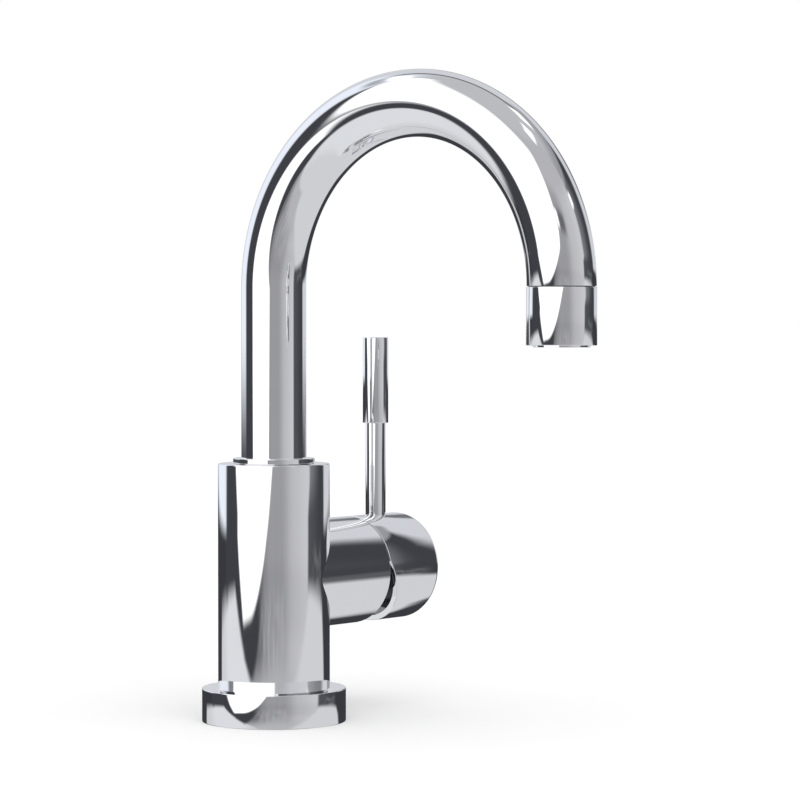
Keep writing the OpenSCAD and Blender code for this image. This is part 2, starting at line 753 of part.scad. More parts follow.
module lever_grip() {
    color("silver") translate([lever_x, 0, grip_z]) difference() {
        rotate_extrude() polygon([[0, 0], [grip_r - grip_edge, 0], [grip_r, grip_edge],
            [grip_r, grip_l - grip_edge], [grip_r - grip_edge, grip_l], [0, grip_l]]);
        translate([0, 0, -cut]) cylinder(d = rod_thread_d, h = grip_seat + free_gap + cut);
    }
}

// Riser and half-circle arch, bent from one tube
module spout_tube() {
    color("silver") {
        translate([0, 0, body_h]) ring(tube_r, tube_bore_r, riser_top - body_h);
        translate([0, -arch_r, riser_top]) rotate([90, 0, 90])
            rotate_extrude(angle = 180) translate([arch_r, 0]) difference() {
                circle(r = tube_r);
                circle(r = tube_bore_r);
            }
    }
}

module spout_collar() {
    color("silver") translate([0, 0, body_h]) difference() {
        edged_cylinder(collar_d / 2, collar_h, collar_edge);
        translate([0, 0, -cut]) cylinder(r = tube_r, h = collar_h + 2 * cut);
    }
}

module at_o_rings() {
    for (side = [-1, 1]) translate([0, 0, keeper_z + side * ring_offset]) children();
}

// Journal that the spout turns on, with two seal grooves and the keeper's groove
module spout_nipple() {
    color("goldenrod") difference() {
        union() {
            translate([0, 0, nipple_foot_z]) cylinder(r = journal_r, h = body_h - nipple_foot_z);
            translate([0, 0, body_h - cut])
                cylinder(r = tube_bore_r - thread_gap, h = nipple_spigot_l + cut);
        }
        translate([0, 0, journal_floor])
            cylinder(d = nipple_bore_d, h = body_h + nipple_spigot_l - journal_floor + cut);
        at_o_rings() translate([0, 0, -seal_groove_w / 2])
            ring(journal_bore_r, ring_r - ring_section / 2, seal_groove_w);
        translate([0, 0, keeper_z - keeper_groove_w / 2])
            ring(journal_bore_r, journal_r - groove_depth, keeper_groove_w);
    }
}

module spout_o_rings() {
    color("dimgray") at_o_rings() rotate_extrude() translate([ring_r, 0]) circle(d = ring_section);
}

// Threaded ring in the end of the tube, which the aerator screws onto
module outlet_bushing() {
    spigot_top = riser_top + bushing_spigot_l;
    color("goldenrod") translate([0, tip_y, 0]) difference() {
        union() {
            translate([0, 0, tip_end]) cylinder(r = tip_neck_r, h = riser_top - tip_end);
            translate([0, 0, aerator_top]) cylinder(r = tube_r - reveal_depth, h = reveal);
            translate([0, 0, riser_top - cut])
                cylinder(r = tube_bore_r - static_gap, h = bushing_spigot_l + cut);
        }
        translate([0, 0, tip_end - cut]) cylinder(r = tube_bore_r - static_gap - bushing_wall,
            h = spigot_top - tip_end + 2 * cut);
    }
}

// Sleeve with a fine rim round its outlet
module aerator_housing() {
    color("silver") translate([0, tip_y, aerator_z]) difference() {
        rotate_extrude() polygon([[0, -rim_h], [outlet_r + rim_w, -rim_h], [outlet_r + rim_w, 0],
            [aerator_r - aerator_edge, 0], [aerator_r, aerator_edge], [aerator_r, aerator_l],
            [0, aerator_l]]);
        translate([0, 0, -rim_h - cut]) cylinder(r = outlet_r, h = rim_h + lip_t + 2 * cut);
        translate([0, 0, lip_t]) cylinder(r = insert_r + running_gap, h = insert_l + cut);
        translate([0, 0, lip_t + insert_l]) cylinder(r = thread_bore_r, h = aerator_l);
    }
}

module aerator_washer() {
    color("dimgray") translate([0, tip_y, insert_z + insert_l])
        ring(thread_bore_r - running_gap, insert_r - aerator_washer_lap, aerator_washer_t);
}

// Honeycomb that straightens the stream
module aerator_insert() {
    pitch = cell_w + cell_wall;
    rows = floor(insert_r / pitch);
    color("dimgray") translate([0, tip_y, insert_z]) difference() {
        cylinder(r = insert_r, h = insert_l);
        for (i = [-rows : rows], j = [-rows : rows]) {
            x = pitch * (i + j / 2);
            y = pitch * j * sin(60);
            if (norm([x, y]) < outlet_r - cell_w / 2 - free_gap) translate([x, y, -cut])
                rotate([0, 0, 30]) cylinder(d = cell_w / cos(30), h = insert_l + 2 * cut, $fn = 6);
        }
    }
}

body();
base_flange();
base_gasket();
mounting_shank();
rubber_washer();
clamp_washer();
mounting_nut();
jack_screws();
thrust_washer();
spout_keeper_screw();
cartridge_base();
cartridge_seals();
cartridge_housing();
fixed_disc();
retaining_nut();
bonnet();
spout_tube();
spout_collar();
spout_nipple();
spout_o_rings();
outlet_bushing();
aerator_housing();
aerator_washer();
aerator_insert();
cartridge_rotor();
pivot_pin();
moving_disc();
disc_carrier();
cartridge_stem();
handle_cap();
handle_set_screw();
screw_plug();
lever_rod();
lever_grip();
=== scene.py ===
# Single-hole lavatory faucet: fine surfaces, finishes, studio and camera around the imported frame
import json
import math

import bpy
from mathutils import Matrix, Vector


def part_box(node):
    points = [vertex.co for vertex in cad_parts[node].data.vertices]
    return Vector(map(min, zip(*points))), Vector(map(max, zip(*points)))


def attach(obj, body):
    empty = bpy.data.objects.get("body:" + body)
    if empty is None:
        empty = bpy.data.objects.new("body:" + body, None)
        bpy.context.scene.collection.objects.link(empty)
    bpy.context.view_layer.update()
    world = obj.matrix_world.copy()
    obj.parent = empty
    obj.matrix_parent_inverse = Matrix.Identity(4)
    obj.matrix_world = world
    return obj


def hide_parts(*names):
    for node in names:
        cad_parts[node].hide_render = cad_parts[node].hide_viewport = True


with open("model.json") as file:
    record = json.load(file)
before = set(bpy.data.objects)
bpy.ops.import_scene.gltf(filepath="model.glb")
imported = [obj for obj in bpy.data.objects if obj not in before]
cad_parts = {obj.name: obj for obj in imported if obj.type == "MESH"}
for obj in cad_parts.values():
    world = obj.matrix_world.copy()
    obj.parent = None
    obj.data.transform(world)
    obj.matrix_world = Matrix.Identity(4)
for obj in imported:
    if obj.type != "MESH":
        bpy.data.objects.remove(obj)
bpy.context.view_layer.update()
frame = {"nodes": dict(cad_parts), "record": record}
mm = 0.001
turns = 96   # columns round every turned piece, so that neighbours share their edges
tiny = 1e-9
pointGrid = 1e6   # points that agree to a micrometre are one
angleDigits = 9
leastRows = 3


def degrees(value):
    return math.radians(value)


def plain(value):   # a level between 0 and 255 as it shows on screen, as light
    level = value / 255
    return level / 12.92 if level <= 0.04045 else ((level + 0.055) / 1.055) ** 2.4


def tint(red, green, blue, share):
    return tuple(plain(value) / share for value in (red, green, blue)) + (1.0,)


# Shader maths: a socket that can be added, multiplied and so on
class Wire:
    def __init__(self, graph, socket):
        self.graph = graph
        self.socket = socket

    def sum(self, operation, *values):
        return self.graph.node("ShaderNodeMath", {"operation": operation}, dict(enumerate(values)))

    def __add__(self, other):
        return self.sum("ADD", self, other)

    def __sub__(self, other):
        return self.sum("SUBTRACT", self, other)

    def __rsub__(self, other):
        return self.sum("SUBTRACT", other, self)

    def __mul__(self, other):
        return self.sum("MULTIPLY", self, other)

    def __truediv__(self, other):
        return self.sum("DIVIDE", self, other)

    __radd__ = __add__
    __rmul__ = __mul__

    def atLeast(self, least):
        return self.sum("MAXIMUM", self, least)

    def atMost(self, most):
        return self.sum("MINIMUM", self, most)

    def over(self, start, end):   # 0 before start, 1 past end and smooth between
        settings = {"interpolation_type": "SMOOTHSTEP"}
        values = {0: self, 1: start, 2: end, 3: 0.0, 4: 1.0}
        return self.graph.node("ShaderNodeMapRange", settings, values)


class Graph:
    def __init__(self, tree):
        self.tree = tree
        tree.nodes.clear()

    def node(self, kind, settings=None, inputs=None, output=0):
        made = self.tree.nodes.new(kind)
        for name, value in (settings or {}).items():
            setattr(made, name, value)
        for name, value in (inputs or {}).items():
            if isinstance(value, Wire):
                self.tree.links.new(value.socket, made.inputs[name])
            else:
                made.inputs[name].default_value = value
        return Wire(self, made.outputs[output]) if made.outputs else made

    def mix(self, share, first, second):   # colours
        return self.node("ShaderNodeMix", {"data_type": "RGBA"}, {0: share, 6: first, 7: second}, 2)

    def place(self):   # the point on the object, in metres
        return self.node("ShaderNodeTexCoord", output="Object")

    def stretch(self, vector, scale):
        return self.node("ShaderNodeMapping", None, {0: vector, "Scale": scale})

    def noise(self, vector, scale, detail, rough=0.5):
        values = {"Vector": vector, "Scale": scale, "Detail": detail, "Roughness": rough}
        return self.node("ShaderNodeTexNoise", None, values, "Fac")

    def bump(self, height, strength, depth):
        values = {"Height": height, "Strength": strength, "Distance": depth}
        return self.node("ShaderNodeBump", None, values)

    def surface(self, **inputs):
        values = {name.replace("_", " "): value for name, value in inputs.items()}
        shader = self.node("ShaderNodeBsdfPrincipled", None, values)
        self.node("ShaderNodeOutputMaterial", None, {"Surface": shader})


def finish(name, paint):
    material = bpy.data.materials.new(name)
    material.use_nodes = True
    paint(Graph(material.node_tree))
    return material


# Finishes
chromeLook = {
    "colour": (0.918, 0.922, 0.933, 1.0),
    "faint": (0.885, 0.89, 0.905, 1.0),   # where a cloth has dulled it
    "faintShare": 0.5,
    "rough": 0.035,
    "smearRough": 0.02,
    "smearScale": 38.0,
    "smearRange": (0.45, 0.75),
    "fineRough": 0.01,
    "fineScale": 900.0,
    "fineStretch": (1.0, 1.0, 0.2),
}


def chrome(graph):
    look = chromeLook
    place = graph.place()
    smears = graph.noise(place, look["smearScale"], detail=4.0).over(*look["smearRange"])
    fine = graph.noise(graph.stretch(place, look["fineStretch"]), look["fineScale"], detail=2.0)
    graph.surface(
        Base_Color=graph.mix(smears * look["faintShare"], look["colour"], look["faint"]),
        Metallic=1.0,
        Roughness=look["rough"] + smears * look["smearRough"] + fine * look["fineRough"],
    )


# Worked metals: grain is the scale along each axis, so that a small one draws the lines out
metalLooks = {
    "brass": {
        "colour": (0.72, 0.50, 0.19, 1), "dull": (0.50, 0.33, 0.14, 1),
        "rough": 0.22, "grain": (40, 40, 3500),
    },
    "nickel": {
        "colour": (0.13, 0.125, 0.12, 1), "dull": (0.07, 0.065, 0.06, 1),
        "rough": 0.3, "grain": (40, 40, 2500),
    },
    "steel": {
        "colour": (0.56, 0.57, 0.58, 1), "dull": (0.42, 0.42, 0.41, 1),
        "rough": 0.28, "grain": (60, 60, 2800),
    },
    "steelStem": {
        "colour": (0.58, 0.59, 0.60, 1), "dull": (0.44, 0.44, 0.43, 1),
        "rough": 0.3, "grain": (50, 1800, 1800),
    },
    # nearly black: a dark finish that also stands in as painted shade for the inside of the cap, seen
    # through its gap
    "bonnet": {
        "colour": (0.07, 0.07, 0.075, 1), "dull": (0.04, 0.04, 0.045, 1),
        "rough": 0.3, "grain": (900, 900, 900),
    },
}

metalWear = {
    "stainScale": 160.0,
    "stainRange": (0.42, 0.72),
    "stainShare": 0.6,
    "stainRough": 0.08,
    "lineShare": 0.2,
    "lineRough": 0.14,
    "bump": 0.35,
    "bumpDepth": 0.03 * mm,
}


def workedMetal(look):
    wear = metalWear

    def paint(graph):
        place = graph.place()
        stains = graph.noise(place, wear["stainScale"], detail=4.0).over(*wear["stainRange"])
        lines = graph.noise(graph.stretch(place, look["grain"]), 1.0, detail=2.0)
        dulled = stains * wear["stainShare"] + lines * wear["lineShare"]
        graph.surface(
            Base_Color=graph.mix(dulled, look["colour"], look["dull"]),
            Metallic=1.0,
            Roughness=look["rough"] + lines * wear["lineRough"] + stains * wear["stainRough"],
            Normal=graph.bump(lines, wear["bump"], wear["bumpDepth"]),
        )
    return paint


mouldedLooks = {
    "rubber": {
        "colour": (0.016, 0.016, 0.017, 1), "bloom": (0.045, 0.044, 0.043, 1),
        "rough": 0.62, "grain": 2600,
    },
    "black_plastic": {
        "colour": (0.014, 0.014, 0.016, 1), "bloom": (0.03, 0.03, 0.032, 1),
        "rough": 0.42, "grain": 1500,
    },
    "grey_plastic": {
        "colour": (0.30, 0.31, 0.33, 1), "bloom": (0.36, 0.37, 0.38, 1),
        "rough": 0.4, "grain": 1800,
    },
    "ivory_plastic": {
        "colour": (0.68, 0.63, 0.50, 1), "bloom": (0.76, 0.72, 0.61, 1),
        "rough": 0.38, "grain": 1400,
    },
    "acetal": {
        "colour": (0.78, 0.77, 0.72, 1), "bloom": (0.70, 0.69, 0.65, 1),
        "rough": 0.33, "grain": 1200,
    },
    "ceramic": {
        "colour": (0.86, 0.85, 0.80, 1), "bloom": (0.78, 0.77, 0.73, 1),
        "rough": 0.1, "grain": 4200,
    },
}

mouldedWear = {
    "bloomScale": 90.0,
    "bloomRange": (0.4, 0.75),
    "bloomShare": 0.7,
    "grainRough": 0.16,
    "bump": 0.25,
    "bumpDepth": 0.05 * mm,
}


def moulded(look):
    wear = mouldedWear

    def paint(graph):
        place = graph.place()
        bloom = graph.noise(place, wear["bloomScale"], detail=4.0, rough=0.6).over(*wear["bloomRange"])
        grain = graph.noise(place, look["grain"], detail=2.0)
        graph.surface(
            Base_Color=graph.mix(bloom * wear["bloomShare"], look["colour"], look["bloom"]),
            Roughness=look["rough"] + grain * wear["grainRough"],
            Normal=graph.bump(grain, wear["bump"], wear["bumpDepth"]),
        )
    return paint


finishes = {"chrome": finish("chrome", chrome)}
for name, look in metalLooks.items():
    finishes[name] = finish(name, workedMetal(look))
for name, look in mouldedLooks.items():
    finishes[name] = finish(name, moulded(look))

print("finishes ready")


# Surfaces: sheets of points with the true direction of the surface at each
class Skin:
    def __init__(self):
        self.numbers = {}
        self.points = []
        self.faces = []
        self.normals = []

    def number(self, point):
        key = tuple(round(value * pointGrid) for value in point)
        if key not in self.numbers:
            self.numbers[key] = len(self.points)
            self.points.append(tuple(point))
        return self.numbers[key]

    def face(self, corners):
        seen = {}
        for point, normal in corners:
            seen.setdefault(self.number(point), normal)
        if len(seen) < 3:
            return
        numbers = list(seen)
        points = [Vector(self.points[number]) for number in numbers]
        if len(points) == 4:
            facing = (points[2] - points[0]).cross(points[3] - points[1])
        else:
            facing = (points[1] - points[0]).cross(points[2] - points[0])
        if facing.dot(sum(seen.values(), Vector())) < 0:
            numbers.reverse()
        self.faces.append(numbers)
        self.normals.extend(seen[number] for number in numbers)

    def sheet(self, rows):
        for first, second in zip(rows, rows[1:]):
            for k in range(len(first) - 1):
                self.face([first[k], first[k + 1], second[k + 1], second[k]])

    def piece(self, name, node, body, slot="chrome"):
        mesh = bpy.data.meshes.new(name)
        mesh.from_pydata(self.points, [], self.faces)
        mesh.shade_smooth()
        mesh.normals_split_custom_set(self.normals)
        made = bpy.data.objects.new(name, mesh)
        bpy.context.scene.collection.objects.link(made)
        mesh.materials.append(finishes[slot])
        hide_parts(node)
        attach(made, body)


# A profile is a list of runs; a run's points are (radius, height, tilt of the surface in degrees),
# where 0 faces outwards, 90 up, -90 down and 180 inwards
def line(start, end, tilt, steps=1):
    return [
        (
            start[0] + (end[0] - start[0]) * k / steps,
            start[1] + (end[1] - start[1]) * k / steps,
            tilt,
        )
        for k in range(steps + 1)
    ]


def bend(centre, radius, start, end, steps, tilts=None):
    first, last = tilts or (start, end)
    run = []
    for k in range(steps + 1):
        angle = start + (end - start) * k / steps
        tilt = first + (last - first) * k / steps
        turn = degrees(angle)
        run.append((centre[0] + radius * math.cos(turn), centre[1] + radius * math.sin(turn), tilt))
    return run


def lean(at, low, high, polish):
    # polishing rounds a wall over: the stops are (share of its length, lean towards its far end in degrees)
    share = min(1.0, max(0.0, (at - low) / (high - low)))
    for (start, first), (end, last) in zip(polish, polish[1:]):
        if share <= end:
            return first + (last - first) * (share - start) / (end - start)
    return polish[-1][1]


def wall(radius, low, high, polish, steps=24):
    run = []
    for k in range(steps + 1):
        at = low + (high - low) * k / steps
        run.append((radius, at, lean(at, low, high, polish)))
    return run


def spin(place, angle, radius, height, tilt):
    side, rise = math.cos(degrees(tilt)), math.sin(degrees(tilt))
    c, s = math.cos(angle), math.sin(angle)
    point = place @ Vector((radius * c, radius * s, height))
    normal = place.to_3x3() @ Vector((side * c, side * s, rise))
    return point, normal


def evenTurns(count=turns):
    return [2 * math.pi * k / count for k in range(count)]


def turned(skin, place, runs, angles=None):
    angles = angles or evenTurns()
    for run in runs:
        rows = [[spin(place, angle, *stop) for stop in run] for angle in angles]
        skin.sheet(rows + rows[:1])


def halfOpening(opening, radius, angle):
    away = (angle - opening["angle"] + math.pi) % (2 * math.pi) - math.pi
    across = radius * math.sin(away)
    if abs(away) > math.pi / 2 or abs(across) >= opening["radius"] - tiny:
        return 0.0
    return math.sqrt(opening["radius"] ** 2 - across ** 2)


def drilledWall(skin, place, radius, low, high, openings, tilt, pitch):
    columns = []
    for opening in openings:   # columns that run through the points of each opening's rim
        for angle in evenTurns():
            if math.cos(angle) >= -tiny:
                across = opening["radius"] * math.sin(angle)
                columns.append(opening["angle"] + math.asin(across / radius))
    for angle in evenTurns():
        if all(halfOpening(opening, radius, angle) == 0 for opening in openings):
            columns.append(angle)
    columns = sorted({round(angle % (2 * math.pi), angleDigits) for angle in columns})
    stops = sorted(openings, key=lambda opening: opening["height"])
    marks = [low(0)] + [opening["height"] for opening in stops] + [high(0)]
    steps = [max(leastRows, round((b - a) / pitch)) for a, b in zip(marks, marks[1:])]
    strips = [[] for step in steps]
    for angle in columns:
        ends = [low(angle)]
        for opening in stops:
            half = halfOpening(opening, radius, angle)
            ends += [opening["height"] - half, opening["height"] + half]
        ends.append(high(angle))
        for strip, step, a, b in zip(strips, steps, ends[::2], ends[1::2]):
            heights = [a + (b - a) * k / step for k in range(step + 1)]
            strip.append([spin(place, angle, radius, h, tilt(h)) for h in heights])
    for strip in strips:
        skin.sheet(strip + strip[:1])
    return columns


def branch(skin, place, radius, opening, reach, tilt, steps):
    # a round wall that grows out of an opening, up to a distance from the wall's own axis
    out = Vector((math.cos(opening["angle"]), math.sin(opening["angle"]), 0))
    side = Vector((-out.y, out.x, 0))
    rows = []
    for angle in evenTurns() + [0.0]:
        across = side * math.sin(angle) + Vector((0, 0, math.cos(angle)))
        start = math.sqrt(radius ** 2 - (opening["radius"] * math.sin(angle)) ** 2)
        row = []
        for k in range(steps + 1):
            along = start + (reach - start) * k / steps
            turn = degrees(tilt(along))
            point = out * along + across * opening["radius"] + Vector((0, 0, opening["height"]))
            normal = across * math.cos(turn) + out * math.sin(turn)
            row.append((place @ point, place.to_3x3() @ normal))
        rows.append(row)
    skin.sheet(rows)


def upright(x=0.0, y=0.0):
    return Matrix.Translation((x, y, 0))


def sideways(z):   # the axis runs along +X and angle 0 is at the top
    return Matrix(((0, 0, 1, 0), (0, 1, 0, 0), (1, 0, 0, z), (0, 0, 0, 1)))


# Base flange
flangeLook = {
    "edge": 0.3 * mm,
    "bore": 20.05 * mm,
    "gasketWidth": 4 * mm,
    "gasketDepth": 2 * mm,
    "polish": [(0, -17), (0.32, -10.5), (0.5, -5.8), (0.7, -0.8), (1, 5)],
}


def baseFlange():
    look = flangeLook
    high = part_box("base_flange")[1]
    r, top = high.x, high.z
    edge, bore, depth, polish = look["edge"], look["bore"], look["gasketDepth"], look["polish"]
    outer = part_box("base_gasket")[1].x
    inner = outer - look["gasketWidth"]
    skin = Skin()
    turned(skin, upright(), [
        line((bore, 0), (bore, top), 180),
        line((bore, 0), (inner, 0), -90),
        line((inner, 0), (inner, depth), 0),
        line((inner, depth), (outer, depth), -90),
        line((outer, 0), (outer, depth), 180),
        line((outer, 0), (r - edge, 0), -90),
        bend((r - edge, edge), edge, -90, 0, steps=4, tilts=(-90, polish[0][1])),
        wall(r, edge, top - edge, polish, steps=16),
        bend((r - edge, top - edge), edge, 0, 90, steps=4, tilts=(polish[-1][1], 90)),
        line((r - edge, top), (bore, top), 90, steps=6),
    ])
    skin.piece("flange_shell", "base_flange", "root")


# Upright body with its hub
bodyLook = {
    "edge": 0.45 * mm,
    "hubEdge": 0.25 * mm,
    "spigot": 20 * mm,
    "spigotEnd": 1 * mm,
    "socket": 16.03 * mm,
    "socketTop": 12 * mm,
    "hubBore": 17.7 * mm,
    "hubSeat": 12 * mm,
    "journal": 14 * mm,
    "journalDepth": 23 * mm,
    "recess": 15.5 * mm,
    "recessDepth": 1 * mm,
    "screwHole": 2.53 * mm,
    "screwReach": 1 * mm,   # how far the hole stops short of the journal
    "pitch": 3 * mm,
    "polish": [(0, -15.5), (0.2, -10.5), (0.38, -6.2), (0.58, -0.6), (0.79, 4.4), (1, 8.3)],
    "hubPolish": [(0, 4), (1, 4.5)],
}


def hubHeight():
    low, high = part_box("retaining_nut")
    return (low.z + high.z) / 2


def hubRadius():
    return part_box("handle_cap")[1].y


def bodyShell():
    look = bodyLook
    low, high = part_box("body")
    r, top, end = -low.x, high.z, high.x
    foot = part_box("base_flange")[1].z
    edge, hubEdge, polish, hubPolish = look["edge"], look["hubEdge"], look["polish"], look["hubPolish"]
    hub = {"angle": 0.0, "height": hubHeight(), "radius": hubRadius()}
    screwLow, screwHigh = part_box("spout_keeper_screw")
    screwHeight = (screwLow.z + screwHigh.z) / 2
    keeper = {"angle": math.pi / 2, "height": screwHeight, "radius": look["screwHole"]}
    skin = Skin()

    def tilt(at):
        return lean(at, foot, top - edge, polish)

    def hubTilt(at):
        return lean(at, r, end, hubPolish)

    columns = drilledWall(
        skin, upright(), r, lambda angle: foot, lambda angle: top - edge,
        [hub, keeper], tilt, look["pitch"],
    )
    socket, socketTop, spigot, spigotEnd = (
        look[name] for name in ("socket", "socketTop", "spigot", "spigotEnd")
    )
    recess, recessFloor = look["recess"], top - look["recessDepth"]
    journal, journalFloor = look["journal"], top - look["journalDepth"]
    turned(skin, upright(), [
        line((0, socketTop), (socket, socketTop), -90),
        line((socket, socketTop), (socket, spigotEnd), 180),
        line((socket, spigotEnd), (spigot, spigotEnd), -90),
        line((spigot, spigotEnd), (spigot, foot), 0),
        line((spigot, foot), (r, foot), -90),
        bend((r - edge, top - edge), edge, 0, 90, steps=5, tilts=(polish[-1][1], 90)),
        line((r - edge, top), (recess, top), 90, steps=3),
        line((recess, top), (recess, recessFloor), 180),
        line((recess, recessFloor), (journal, recessFloor), 90),
        line((journal, recessFloor), (journal, journalFloor), 180),
        line((journal, journalFloor), (0, journalFloor), 90),
    ], columns)
    branch(skin, upright(), r, hub, end - hubEdge, hubTilt, steps=16)
    hubR, bore, seat = hub["radius"], look["hubBore"], look["hubSeat"]
    turned(skin, sideways(hub["height"]), [
        bend((hubR - hubEdge, end - hubEdge), hubEdge, 0, 90, steps=4, tilts=(hubPolish[-1][1], 90)),
        line((hubR - hubEdge, end), (bore, end), 90),
        line((bore, end), (bore, seat), 180),
        line((bore, seat), (0, seat), 90),
    ])
    branch(skin, upright(), r, keeper, journal + look["screwReach"], lambda at: 180, steps=3)
    skin.piece("body_shell", "body", "root")


print("casting and flange")
baseFlange()
bodyShell()


# Swivel spout: collar, tube and aerator
spoutLook = {
    "wall": 2 * mm,
    "collarEdge": 0.3 * mm,
    "tipReach": 12 * mm,
    "tipLean": 12,
    "archSteps": 120,
    "riserSteps": 24,
}


def spoutCollar():
    low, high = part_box("spout_collar")
    tube = -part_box("spout_tube")[0].x
    edge = spoutLook["collarEdge"]
    r = high.x
    skin = Skin()
    turned(skin, upright(), [
        line((tube, low.z), (r - edge, low.z), -90),
        bend((r - edge, low.z + edge), edge, -90, 0, steps=4),
        line((r, low.z + edge), (r, high.z - edge), 0, steps=3),
        bend((r - edge, high.z - edge), edge, 0, 90, steps=4),
        line((r - edge, high.z), (tube, high.z), 90, steps=2),
        line((tube, high.z), (tube, low.z), 180),
    ])
    skin.piece("collar_ring", "spout_collar", "spout")


def spoutTube():
    low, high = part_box("spout_tube")
    r = -low.x
    arch = (high.y - low.y) / 2 - r
    riser = high.z - arch - r
    look = spoutLook
    inner = r - look["wall"]
    pitch = (riser - low.z) / look["riserSteps"]
    stops = [(0.0, low.z + pitch * k, 0.0, 0.0) for k in range(look["riserSteps"])]
    for k in range(look["archSteps"] + 1):
        turn = math.pi * k / look["archSteps"]
        left = (math.pi - turn) * arch
        tip = max(0.0, 1 - left / look["tipReach"]) * look["tipLean"]
        stops.append((-arch + arch * math.cos(turn), riser + arch * math.sin(turn), turn, tip))

    def ring(radius, facing):
        rows = []
        for y, z, turn, tip in stops:
            out = Vector((0, math.cos(turn), math.sin(turn)))
            along = Vector((0, -math.sin(turn), math.cos(turn)))
            row = []
            for angle in evenTurns() + [0.0]:
                across = out * math.cos(angle) + Vector((math.sin(angle), 0, 0))
                normal = across * math.cos(degrees(tip)) + along * math.sin(degrees(tip))
                row.append((Vector((0, y, z)) + across * radius, normal * facing))
            rows.append(row)
        return rows

    outer, bore = ring(r, 1), ring(inner, -1)
    skin = Skin()
    skin.sheet(outer)
    skin.sheet(bore)
    down = Vector((0, 0, -1))
    for end in (0, -1):
        skin.sheet([[(point, down) for point, normal in rim] for rim in (outer[end], bore[end])])
    skin.piece("spout_tube_shell", "spout_tube", "spout")


aeratorLook = {
    "edge": 0.25 * mm,
    "thread": 11.85 * mm,
    "insertBore": 11.0 * mm,
    "insertTop": 9.5 * mm,
    "outlet": 9.85 * mm,
    "lip": 1.5 * mm,
    "rimWall": 0.6 * mm,
    "rimHeight": 0.7 * mm,
    "rimEdge": 0.1 * mm,
    "polish": [(0, -12.3), (0.45, -2.5), (1, 8.2)],
}


def aeratorHousing():
    look = aeratorLook
    low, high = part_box("aerator_housing")
    r = high.x
    y = (low.y + high.y) / 2
    edge, rimEdge, polish = look["edge"], look["rimEdge"], look["polish"]
    foot = low.z + look["rimHeight"]
    thread, bore, outlet = look["thread"], look["insertBore"], look["outlet"]
    rim = outlet + look["rimWall"]
    seat, step = foot + look["lip"], foot + look["insertTop"]
    skin = Skin()
    turned(skin, upright(0, y), [
        line((outlet, low.z), (rim - rimEdge, low.z), -90),
        bend((rim - rimEdge, low.z + rimEdge), rimEdge, -90, 0, steps=3),
        line((rim, low.z + rimEdge), (rim, foot), 0),
        line((rim, foot), (r - edge, foot), -90),
        bend((r - edge, foot + edge), edge, -90, 0, steps=4, tilts=(-90, polish[0][1])),
        wall(r, foot + edge, high.z - edge, polish),
        bend((r - edge, high.z - edge), edge, 0, 90, steps=4, tilts=(polish[-1][1], 90)),
        line((r - edge, high.z), (thread, high.z), 90),
        line((thread, high.z), (thread, step), 180),
        line((thread, step), (bore, step), 90),
        line((bore, step), (bore, seat), 180),
        line((bore, seat), (outlet, seat), 90),
        line((outlet, seat), (outlet, low.z), 180),
    ])
    skin.piece("aerator_shell", "aerator_housing", "spout")


print("spout")
spoutCollar()
spoutTube()
aeratorHousing()


# Handle: cap, rod and grip
capLook = {
    "wall": 2 * mm,
    "rimEdge": 0.25 * mm,
    "rimBevel": 0.3,   # share of the rim's edge where its bevel has its middle
    "edge": 1.6 * mm,
    "crown": 130 * mm,
    "reliefStart": 5 * mm,
    "reliefAngle": 22.8,
    "floor": 58.5 * mm,
    "seat": 4.13 * mm,
    "seatDepth": 0.8 * mm,
    "thread": 3 * mm,
    "threadDepth": 10.5 * mm,
    "tunnel": 3.2 * mm,
    "tunnelDepth": 3 * mm,
    "pitch": 1.5 * mm,
    "polish": [(0, -6), (0.32, 1.5), (0.64, 5.5), (1, 8)],
}


